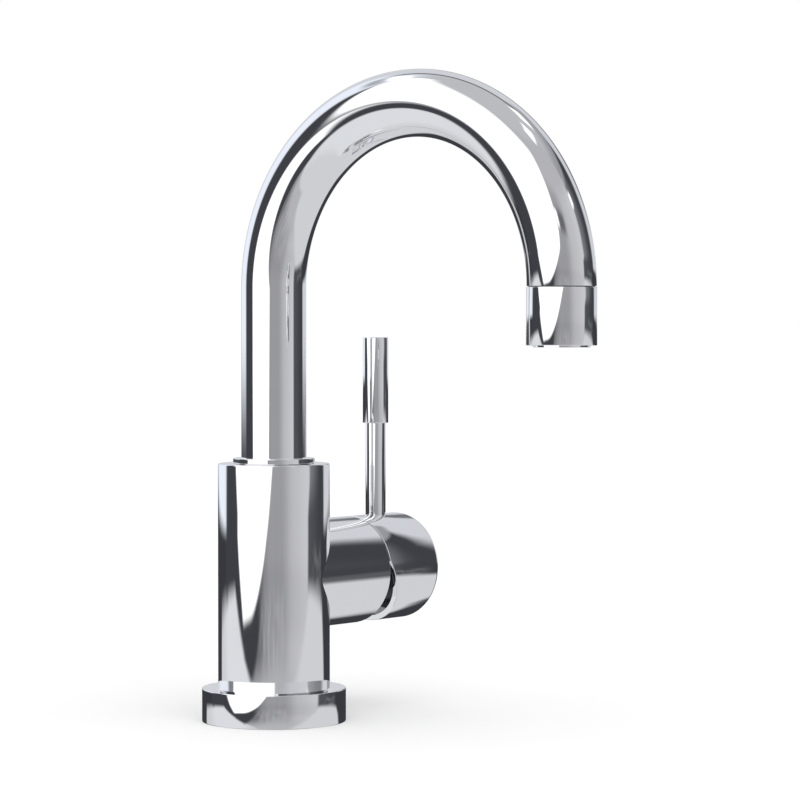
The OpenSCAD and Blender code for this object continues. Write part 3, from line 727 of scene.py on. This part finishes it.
def handleCap():
    look = capLook
    low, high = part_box("handle_cap")
    r, start, end = high.y, low.x, high.x
    axis = hubHeight()
    rodLow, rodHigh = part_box("lever_rod")
    plugLow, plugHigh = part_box("screw_plug")
    slope = math.tan(degrees(look["reliefAngle"]))
    edge, rimEdge, polish = look["edge"], look["rimEdge"], look["polish"]
    centre = end - look["crown"]
    edgeX = centre + math.sqrt((look["crown"] - edge) ** 2 - (r - edge) ** 2)
    meets = math.degrees(math.atan2(edgeX - centre, r - edge))

    def rim(height):
        return start + max(0.0, look["reliefStart"] - height) * slope

    def tilt(at):
        return lean(at, start, edgeX, polish)

    rodX, plugX = (rodLow.x + rodHigh.x) / 2, (plugLow.x + plugHigh.x) / 2
    seat = {"angle": 0.0, "height": rodX, "radius": look["seat"]}
    tunnel = {"angle": math.pi, "height": plugX, "radius": look["tunnel"]}
    skin = Skin()
    place = sideways(axis)
    columns = drilledWall(
        skin, place, r, lambda angle: rim(r * math.cos(angle)) + rimEdge, lambda angle: edgeX,
        [seat, tunnel], tilt, look["pitch"],
    )
    turned(skin, place, [
        bend((r - edge, edgeX), edge, 0, meets, steps=8, tilts=(polish[-1][1], meets)),
        bend((0, centre), look["crown"], meets, 90, steps=16),
        line((r - look["wall"], look["floor"]), (0, look["floor"]), -90),
    ], columns)
    edges = (r, r - rimEdge * look["rimBevel"], r - rimEdge, r - look["wall"])
    rows = {"edge": [], "face": [], "bore": []}
    for angle in columns + columns[:1]:
        c, s = math.cos(angle), math.sin(angle)
        slanted = r * c < look["reliefStart"]
        rimTilt = Vector((-slope if slanted else 0.0, 0.0, -1.0)).normalized()
        out = Vector((c, s, 0))

        def at(radius, along, normal):
            point = Vector((radius * c, radius * s, along))
            return place @ point, place.to_3x3() @ normal

        outer, bevel, face, inner = ((radius, rim(radius * c)) for radius in edges)
        rows["edge"].append([
            at(outer[0], outer[1] + rimEdge, out),
            at(bevel[0], bevel[1] + rimEdge * look["rimBevel"], (out + rimTilt).normalized()),
            at(*face, rimTilt),
        ])
        rows["face"].append([at(*face, rimTilt), at(*inner, rimTilt)])
        rows["bore"].append([at(*inner, -out), at(inner[0], look["floor"], -out)])
    for sheet in rows.values():
        skin.sheet(sheet)
    branch(skin, place, r, seat, r - look["seatDepth"], lambda at: 180, steps=2)
    top = axis + r
    seatFloor, bore, boreFloor = top - look["seatDepth"], look["thread"], top - look["threadDepth"]
    turned(skin, upright(rodX), [
        line((look["seat"], seatFloor), (bore, seatFloor), 90),
        line((bore, seatFloor), (bore, boreFloor), 180),
        line((bore, boreFloor), (0, boreFloor), 90),
    ])
    branch(skin, place, r, tunnel, r - look["tunnelDepth"], lambda at: 180, steps=2)
    skin.piece("cap_shell", "handle_cap", "handle")


leverLook = {
    "sink": 0.8 * mm,
    "thread": 3.0 * mm,
    "gripEdge": 0.3 * mm,
    "rodPolish": [(0, -3), (0.35, 2), (1, 6)],
    "gripPolish": [(0, -8), (0.5, -0.5), (1, 7.5)],
}


def leverRod():
    look = leverLook
    low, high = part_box("lever_rod")
    r = (high.x - low.x) / 2
    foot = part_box("handle_cap")[1].z - look["sink"]
    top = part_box("lever_grip")[0].z
    skin = Skin()
    turned(skin, upright((low.x + high.x) / 2, 0), [
        line((0, low.z), (look["thread"], low.z), -90),
        line((look["thread"], low.z), (look["thread"], foot), 0, steps=4),
        line((look["thread"], foot), (r, foot), -90),
        wall(r, foot, top, look["rodPolish"]),
        line((r, top), (look["thread"], top), 90),
        line((look["thread"], top), (look["thread"], high.z), 0, steps=4),
        line((look["thread"], high.z), (0, high.z), 90),
    ])
    skin.piece("rod_shell", "lever_rod", "handle")


def leverGrip():
    look = leverLook
    low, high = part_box("lever_grip")
    r = (high.x - low.x) / 2
    edge, polish = look["gripEdge"], look["gripPolish"]
    skin = Skin()
    turned(skin, upright((low.x + high.x) / 2, 0), [
        line((look["thread"], low.z), (r - edge, low.z), -90),
        bend((r - edge, low.z + edge), edge, -90, 0, steps=4, tilts=(-90, polish[0][1])),
        wall(r, low.z + edge, high.z - edge, polish),
        bend((r - edge, high.z - edge), edge, 0, 90, steps=4, tilts=(polish[-1][1], 90)),
        line((r - edge, high.z), (0, high.z), 90, steps=3),
    ])
    skin.piece("grip_shell", "lever_grip", "handle")


print("handle")
handleCap()
leverRod()
leverGrip()


# Threads: strips of one turn, as (start, end, depth at each, tilt); a depth of 1 is the crest
threadShape = [
    (0, 0.125, 1, 1, 0),
    (0.125, 0.4375, 1, 0, 60),
    (0.4375, 0.6875, 0, 0, 0),
    (0.6875, 1, 0, 1, -60),
]


def thread(skin, place, crest, root, pitch, low, high, columns):
    def edge(turn, share, depth, tilt):
        at = min(high, max(low, low + (turn + share) * pitch))
        full = min(1.0, (at - low) / pitch, (high - at) / pitch)   # runs out at both ends
        return root + (crest - root) * depth * full, at, tilt

    for turn in range(-1, math.ceil((high - low) / pitch)):
        for start, end, first, last, tilt in threadShape:
            rows = []
            for k, angle in enumerate(evenTurns(columns) + [2 * math.pi]):
                climb = k / columns
                rows.append([
                    spin(place, angle, *edge(turn, start + climb, first, tilt)),
                    spin(place, angle, *edge(turn, end + climb, last, tilt)),
                ])
            skin.sheet(rows)


shankLook = {
    "bore": 12.3 * mm,
    "root": 14.85 * mm,
    "pitch": 2 * mm,
}


def mountingShank():
    low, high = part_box("mounting_shank")
    bore, root = shankLook["bore"], shankLook["root"]
    skin = Skin()
    thread(skin, upright(), high.x, root, shankLook["pitch"], low.z, high.z, turns)
    turned(skin, upright(), [
        line((bore, low.z), (root, low.z), -90),
        line((root, high.z), (bore, high.z), 90),
        line((bore, high.z), (bore, low.z), 180),
    ])
    skin.piece("shank_thread", "mounting_shank", "root", "brass")


jackLook = {
    "count": 3,
    "firstAngle": 90,
    "crest": 2 * mm,
    "root": 1.58 * mm,
    "pitch": 0.7 * mm,
    "head": 3.6 * mm,
    "headHeight": 2.8 * mm,
    "headEdge": 0.3 * mm,
    "hexagon": 3 * mm,
    "hexagonDepth": 2.1 * mm,
    "columns": 24,
}


def hexagonSocket(skin, place, across, rim, low, depth):
    def corner(angle):
        away = angle % (math.pi / 3) - math.pi / 6
        return across / 2 / math.cos(away)

    angles = evenTurns(jackLook["columns"]) + [2 * math.pi]
    for first, second in zip(angles, angles[1:]):
        flat = ((first + second) / 2) // (math.pi / 3) * (math.pi / 3) + math.pi / 6
        inwards = place.to_3x3() @ Vector((-math.cos(flat), -math.sin(flat), 0))
        wallRows, faceRows, floorRows = [], [], []
        for angle in (first, second):
            r = corner(angle)
            rimPoint, edgePoint, floorPoint, middle = (
                spin(place, angle, radius, height, -90)
                for radius, height in ((rim, low), (r, low), (r, low + depth), (0, low + depth))
            )
            faceRows.append([rimPoint, edgePoint])
            wallRows.append([(edgePoint[0], inwards), (floorPoint[0], inwards)])
            floorRows.append([floorPoint, middle])
        for sheet in (wallRows, faceRows, floorRows):
            skin.sheet(sheet)


def jackScrews():
    look = jackLook
    low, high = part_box("jack_screws")
    head, columns = look["head"], look["columns"]
    ring = high.y - head
    under = low.z + look["headHeight"]
    edge = look["headEdge"]
    skin = Skin()
    for k in range(look["count"]):
        angle = degrees(look["firstAngle"] + 360 * k / look["count"])
        place = upright(ring * math.cos(angle), ring * math.sin(angle))
        thread(skin, place, look["crest"], look["root"], look["pitch"], under, high.z, columns)
        turned(skin, place, [
            line((look["root"], high.z), (0, high.z), 90),
            line((look["root"], under), (head - edge, under), 90),
            line((head, under - edge), (head - edge, under), 45),
            line((head, low.z + edge), (head, under - edge), 0, steps=2),
            line((head - edge, low.z), (head, low.z + edge), -45),
        ], evenTurns(columns))
        hexagonSocket(skin, place, look["hexagon"], head - edge, low.z, look["hexagonDepth"])
    skin.piece("jack_screw_set", "jack_screws", "root", "steel")


print("threads")
mountingShank()
jackScrews()


# Finishes of the nodes that stay as they are
slots = {row["node"]: row["material_slot"] for row in frame["record"]["subparts"]}
ownFinish = {
    "retaining_nut": "nickel",
    "outlet_bushing": "nickel",
    "cartridge_stem": "steelStem",
    # the bonnet's nearly black finish is partly painted shade for the inside of the cap
    "bonnet": "bonnet",
}
for name, node in frame["nodes"].items():
    if not node.hide_render:
        for holder in node.material_slots:
            holder.material = finishes[ownFinish.get(name, slots[name])]


# Studio
studio = {
    "camera": (-0.8622, -0.7603, 0.1543),
    "right": (0.6286, -0.7777, 0.0),
    "back": (-0.7775, -0.6284, 0.02506),
    "lens": 132.31,
    "sensor": 36.0,
    "daylight": 0.86,
    "lamp": 0.8,
    "lampAngle": 60,
    "lampTilt": (28, -18, 0),
    "clip": 0.05,
    "floorRings": (17 * mm, 0.3, 12.0),   # the hole for the shank, a ring between and the reach
    "floorColumns": 48,
    "floorColour": (0.97, 0.97, 0.97, 1),
}

skyLook = {
    "share": 0.92,   # of the light that the chrome gives back
    "secondMirror": 2.5,   # past this ray depth a ray has met two mirrors, and past the next one three
    "thirdMirror": 3.5,
    "paintedPaler": 0.22,   # painted light: one mirror seen in another is painted softer and paler
    "paintedRecessShade": 0.55,   # and painted shade: a recess that mirrors itself is painted darker
}

skyLevels = {   # what the chrome mirrors, as it shows on screen
    "ground": (205, 206, 209),
    "groundLeft": (217, 219, 222),
    "back": (204, 206, 211),
    "backLeft": (234, 240, 250),
    "ceiling": (186, 187, 190),
    "lintel": (148, 149, 154),
    "frontDark": (128, 128, 131),
    "frontGrey": (155, 155, 158),
    "frontPale": (188, 188, 191),
    "frontEnd": (198, 198, 201),
    "front": (179, 179, 182),
    "flag": (62, 63, 68),
    "flagPale": (124, 125, 130),
    "behind": (56, 57, 62),
    "black": (0, 0, 0),
    # painted light: the pale level that a mirror seen in another mirror is mixed towards
    "twice": (240, 241, 244),
    "softbox": (275, 275, 275),
}

# Places in the painted room, in degrees to the right from the camera's side or up from the horizon.
# Three numbers are two edges and their softness. Two are where a change starts and ends or, under names
# with Top or Right, an edge and its softness
skyPlaces = {
    "horizon": (-6, 0),
    "groundLeft": (-118, -48, 24),
    "backLeft": (208, 246, 16),
    "ceiling": (50, 64),
    "lintel": (80, 151, 7),
    "lintelFoot": (38, 44),
    "lintelFade": (42, 62),
    "frontGrey": (-27, -4),
    "frontPale": (16, 46),
    "frontEnd": (45, 76),
    "frontHigh": (34, 46),
    "frontDeep": (-27, -39),
    "frontRight": (84, 8),
    "frontTop": (66, 8),
    "dim": (-23, -7, 10),
    "duskBelow": (-18, -30),
    "duskLeft": (2, -34),
    "darkLeast": -31,
    "darkMost": -11,
    "flagHigher": (2, 9),   # where the flag on the right steps aside and fades
    "flagPale": (78, 116),
    "flagStart": 77,
    "flagStep": 5,
    "flagTop": (41, 6),
    "behind": (116, 251, 7),
    "behindBelow": (0, -3),
    "skirting": (140, 214, 10),
    "skirtingUp": (55, 60, 4),
    "skirtingMiddle": 165,
    "leftFlagStart": -114,
    "leftFlagHigher": (-9, 3),
    "leftFlagStep": 1.5,
    "leftFlagEnd": (-16, -34),
    "leftFlagTop": (50, 5),
    # painted shade: heights from which a recess that mirrors itself is painted darker
    "recess": (2, 10),
    "boxRight": (4, 4),
}

skySoft = {   # how far an edge fades to each side
    "flagLeft": 3,
    "flagRight": 4,
    "flagRightHigher": 2.5,   # this much more higher up
    "behindFoot": 3,
    "leftFlag": 4,
    "boxFoot": 1.5,
    "boxTop": 4,
}

skyShares = {
    "dim": 0.08,
    "dusk": 0.4,
    "flagPale": 0.2,   # at least, and all of it higher up
    "skirting": 0.9,
    "skirtingBow": 11 / 50 ** 2,
}

skyPatches = {   # across, up and how much of the level they take
    "smear": ((-142, -118, 10), (41, 47.5, 5), 0.8),
    "streaks": ((-26, 44, 24), (-30, 10, 14), 0.07),
    "clouds": ((-25, 24, 14), (-34, -15, 12), 0.45),
    "spot": ((11, 30, 10), (22, 31, 6), 0.7),
    "smudges": ((92, 124, 14), (-11, -3.5, 5), 0.3),
    "beam": ((150, 179, 6), (8, 19, 5), 0.8),
}

skySpeckles = {   # scale across and up, detail, roughness and the range that shows
    "streaks": ((0.2, 0), 4.0, 0.7, (0.3, 0.7)),
    "clouds": ((0.13, 0.07), 2.0, 0.4, (0.3, 0.7)),
    "smudges": ((0.09, 0.3), 3.0, 0.6, (0.35, 0.65)),
}

# Borders that aren't straight: a level, and past each start a slope and a bend. Where a border runs
# upwards, right is above its start and left is below it
skyBorders = {
    "frontFoot": {"level": -51, "right": [(8, 0.42, 0), (52, 0, 0.011)], "left": [(-30, 0.35, 0)]},
    "frontLeft": {"level": -64, "left": [(-26, 2.5, 0)]},
    "darkFoot": {"level": -11, "right": [(121, -0.7, 0)]},
    "darkEnd": {"level": 0, "right": [(205, 1, 0)]},
    "flagRight": {"level": 127, "right": [(22, 0.5, 0)]},
    "leftFlagFoot": {"level": -33, "left": [(-50, 0.42, 0.0055)]},
    "leftFlagRise": {"level": 0, "right": [(-52, 0, 17 / 30 ** 2)]},
    "boxFoot": {"level": -19, "right": [(-50, 0, 16.5 / 35 ** 2)]},
    "boxTop": {"level": 64, "right": [(-60, 0, -9 / 64 ** 2)]},
    "boxLeft": {"level": -77.5, "right": [(3, -0.85, 0)], "left": [(-1, 0.65, 0)]},
}

skyLamps = [   # small bright windows: left, right, low, high
    (62, 98, 64, 72), (121, 141, 54.5, 64), (-142, -120, 48.5, 56), (5, 11, 23, 30), (80, 89, 31, 37),
]
skyLampSoft = (4, 3)   # of a window's sides, and of its ends


def softly(value, soft):   # climbs from 0 to 1 about 0
    return value.over(-soft, soft)


def between(value, low, high, soft):
    return softly(value - low, soft / 2) * softly(high - value, soft / 2)


def square(value):
    return value * value


def border(value, name):
    shape = skyBorders[name]
    sides = [(value - start, slope, bow) for start, slope, bow in shape.get("right", [])]
    sides += [(start - value, slope, bow) for start, slope, bow in shape.get("left", [])]
    edge = shape["level"]
    for side, slope, bow in sides:
        past = side.atLeast(0)
        if slope:
            edge = past * slope + edge
        if bow:
            edge = square(past) * bow + edge
    return edge


def patch(name, around, height):
    across, up, share = skyPatches[name]
    return between(around, *across) * between(height, *up) * share


def speckled(graph, name, around, height):   # a patch broken up by noise
    scale, detail, rough, shown = skySpeckles[name]
    place = graph.node("ShaderNodeCombineXYZ", None, {0: around * scale[0], 1: height * scale[1]})
    return graph.noise(place, 1.0, detail, rough).over(*shown) * patch(name, around, height)


def skyColour(graph, around, height, thrice):
    places, soft, shares = skyPlaces, skySoft, skyShares

    def level(name):
        return tint(*skyLevels[name], skyLook["share"])

    def lay(share, colour, name):   # a level over what is there
        return graph.mix(share, colour, level(name))

    wrapped = around + 360 * around.sum("LESS_THAN", around, 0.0)
    floor = lay(between(around, *places["groundLeft"]), level("ground"), "groundLeft")
    back = lay(between(wrapped, *places["backLeft"]), level("back"), "backLeft")
    colour = graph.mix(height.over(*places["horizon"]), floor, back)
    colour = lay(height.over(*places["ceiling"]), colour, "ceiling")
    # lintel over the flag on the right, and a grey smear on the left
    lintel = lay(height.over(*places["lintelFade"]), level("lintel"), "ceiling")
    overFlag = between(wrapped, *places["lintel"]) * height.over(*places["lintelFoot"])
    colour = graph.mix(overFlag, colour, lintel)
    colour = lay(patch("smear", around, height), colour, "lintel")
    # the room in front: darkest beside the softbox and paler to the right
    room = lay(around.over(*places["frontGrey"]), level("frontDark"), "frontGrey")
    for name in ("frontPale", "frontEnd"):
        room = lay(around.over(*places[name]), room, name)
    dim = between(height, *places["dim"]) * shares["dim"] + speckled(graph, "streaks", around, height)
    room = lay(dim, room, "black")
    dusk = height.over(*places["duskBelow"]) * around.over(*places["duskLeft"]) * shares["dusk"]
    room = lay(dusk, room, "flag")
    room = lay(speckled(graph, "clouds", around, height), room, "frontPale")
    plainer = height.over(*places["frontHigh"]) + height.over(*places["frontDeep"])
    room = lay(plainer, room, "front")
    front = between(around, border(height, "frontLeft"), *places["frontRight"])
    front = front * between(height, border(around, "frontFoot"), *places["frontTop"])
    colour = graph.mix(front, colour, room)
    colour = lay(patch("spot", around, height), colour, "flag")
    # dark flag on the right, and the dark room behind below the deck's edge
    darkFoot = border(wrapped, "darkFoot").atLeast(places["darkLeast"]) + border(wrapped, "darkEnd")
    darkFoot = darkFoot.atMost(places["darkMost"])
    higher = height.over(*places["flagHigher"])
    pale = (1 - around.over(*places["flagPale"])) * (higher * (1 - shares["flagPale"]) + shares["flagPale"])
    flag = lay(pale, level("flag"), "flagPale")
    flag = lay(speckled(graph, "smudges", around, height), flag, "frontGrey")
    flagLeft = softly(around - places["flagStart"] - higher * places["flagStep"], soft["flagLeft"])
    fading = higher * soft["flagRightHigher"] + soft["flagRight"]
    flagRight = softly((border(height, "flagRight") - around) / fading, 1)
    rightFlag = flagLeft * flagRight * between(height, darkFoot, *places["flagTop"])
    colour = graph.mix(rightFlag, colour, flag)
    behind = between(wrapped, *places["behind"]) * height.over(*places["behindBelow"])
    colour = lay(behind * softly(height - darkFoot, soft["behindFoot"]), colour, "behind")
    colour = lay(patch("beam", wrapped, height), colour, "flag")
    bowed = height + square(wrapped - places["skirtingMiddle"]) * shares["skirtingBow"]
    skirting = between(wrapped, *places["skirting"]) * between(bowed, *places["skirtingUp"])
    colour = lay(skirting * shares["skirting"], colour, "flag")
    # dark flag on the left, which goes on under the softbox and fades out beside it
    flagFoot = border(around, "leftFlagFoot").atMost(places["darkMost"]) + border(around, "leftFlagRise")
    aside = height.over(*places["leftFlagHigher"]) * places["leftFlagStep"]
    leftFlag = softly(around - places["leftFlagStart"] - aside, soft["leftFlag"])
    leftFlag = leftFlag * around.over(*places["leftFlagEnd"])
    colour = lay(leftFlag * between(height, flagFoot, *places["leftFlagTop"]), colour, "flag")
    # painted shade: where a ray has met three mirrors, as in a recess that mirrors itself, the flag's dark
    # level is laid over
    colour = lay(thrice * height.over(*places["recess"]) * skyLook["paintedRecessShade"], colour, "flag")
    # softbox with its rounded corners, and the windows
    softbox = between(around, border(height, "boxLeft"), *places["boxRight"])
    softbox = softbox * softly(height - border(around, "boxFoot"), soft["boxFoot"])
    softbox = softbox * softly(border(around, "boxTop") - height, soft["boxTop"])
    colour = lay(softbox, colour, "softbox")
    sides, ends = skyLampSoft
    for left, right, low, high in skyLamps:
        window = between(around, left, right, sides) * between(height, low, high, ends)
        colour = lay(window, colour, "softbox")
    return colour


def sky():
    world = bpy.data.worlds.new("studio")
    bpy.context.scene.world = world
    world.use_nodes = True
    graph = Graph(world.node_tree)
    direction = graph.node("ShaderNodeTexCoord", output="Generated")
    front = Vector((studio["back"][0], studio["back"][1], 0)).normalized()

    def along(axis):
        values = {0: direction, 1: axis}
        return graph.node("ShaderNodeVectorMath", {"operation": "DOT_PRODUCT"}, values, "Value")

    inDegrees = 180 / math.pi
    side, rise = along(studio["right"]), along((0, 0, 1))
    around = side.sum("ARCTAN2", side, along(front)) * inDegrees
    height = rise.sum("ARCSINE", rise) * inDegrees
    path = graph.node("ShaderNodeLightPath").socket.node
    isCamera = Wire(graph, path.outputs["Is Camera Ray"])
    isGlossy = Wire(graph, path.outputs["Is Glossy Ray"])
    bounces = Wire(graph, path.outputs["Ray Depth"])
    twice = bounces.sum("GREATER_THAN", bounces, skyLook["secondMirror"])
    thrice = bounces.sum("GREATER_THAN", bounces, skyLook["thirdMirror"])
    colour = skyColour(graph, around, height, thrice)
    # painted light: rays that have met two mirrors, but not three, are mixed towards a pale level
    paler = (twice - thrice) * skyLook["paintedPaler"]
    colour = graph.mix(paler, colour, tint(*skyLevels["twice"], skyLook["share"]))
    daylight = studio["daylight"]
    plainLight = graph.node("ShaderNodeBackground", None, {
        "Color": (1, 1, 1, 1), "Strength": daylight + isCamera * (1 - daylight),
    })
    mirrored = graph.node("ShaderNodeBackground", None, {"Color": colour, "Strength": 1.0})
    both = graph.node("ShaderNodeMixShader", None, {0: isGlossy, 1: plainLight, 2: mirrored})
    graph.node("ShaderNodeOutputWorld", None, {"Surface": both})


def deck():
    rings, count = studio["floorRings"], studio["floorColumns"]
    points, faces = [], []
    for radius in rings:
        points += [(radius * math.cos(a), radius * math.sin(a), 0) for a in evenTurns(count)]
    for ring in range(len(rings) - 1):
        for k in range(count):
            a, b = ring * count + k, ring * count + (k + 1) % count
            faces.append((a, a + count, b + count, b))
    mesh = bpy.data.meshes.new("deck")
    mesh.from_pydata(points, [], faces)
    made = bpy.data.objects.new("deck", mesh)
    bpy.context.scene.collection.objects.link(made)

    def paint(graph):
        graph.surface(Base_Color=studio["floorColour"], Roughness=1.0, Specular_IOR_Level=0.0)

    mesh.materials.append(finish("deck", paint))
    made.visible_glossy = False


def lamp():
    light = bpy.data.lights.new("overhead", "SUN")
    light.energy = studio["lamp"]
    light.angle = degrees(studio["lampAngle"])
    made = bpy.data.objects.new("overhead", light)
    made.rotation_euler = [degrees(angle) for angle in studio["lampTilt"]]
    made.visible_glossy = False
    bpy.context.scene.collection.objects.link(made)


def camera():
    data = bpy.data.cameras.new("camera")
    data.lens = studio["lens"]
    data.sensor_width = studio["sensor"]
    data.clip_start = studio["clip"]
    made = bpy.data.objects.new("camera", data)
    back, right = Vector(studio["back"]), Vector(studio["right"])
    axes = Matrix((right, back.cross(right), back)).transposed().to_4x4()
    made.matrix_world = Matrix.Translation(studio["camera"]) @ axes
    bpy.context.scene.collection.objects.link(made)
    bpy.context.scene.camera = made


print("studio")
sky()
deck()
lamp()
camera()
bpy.context.scene.view_settings.view_transform = "Standard"
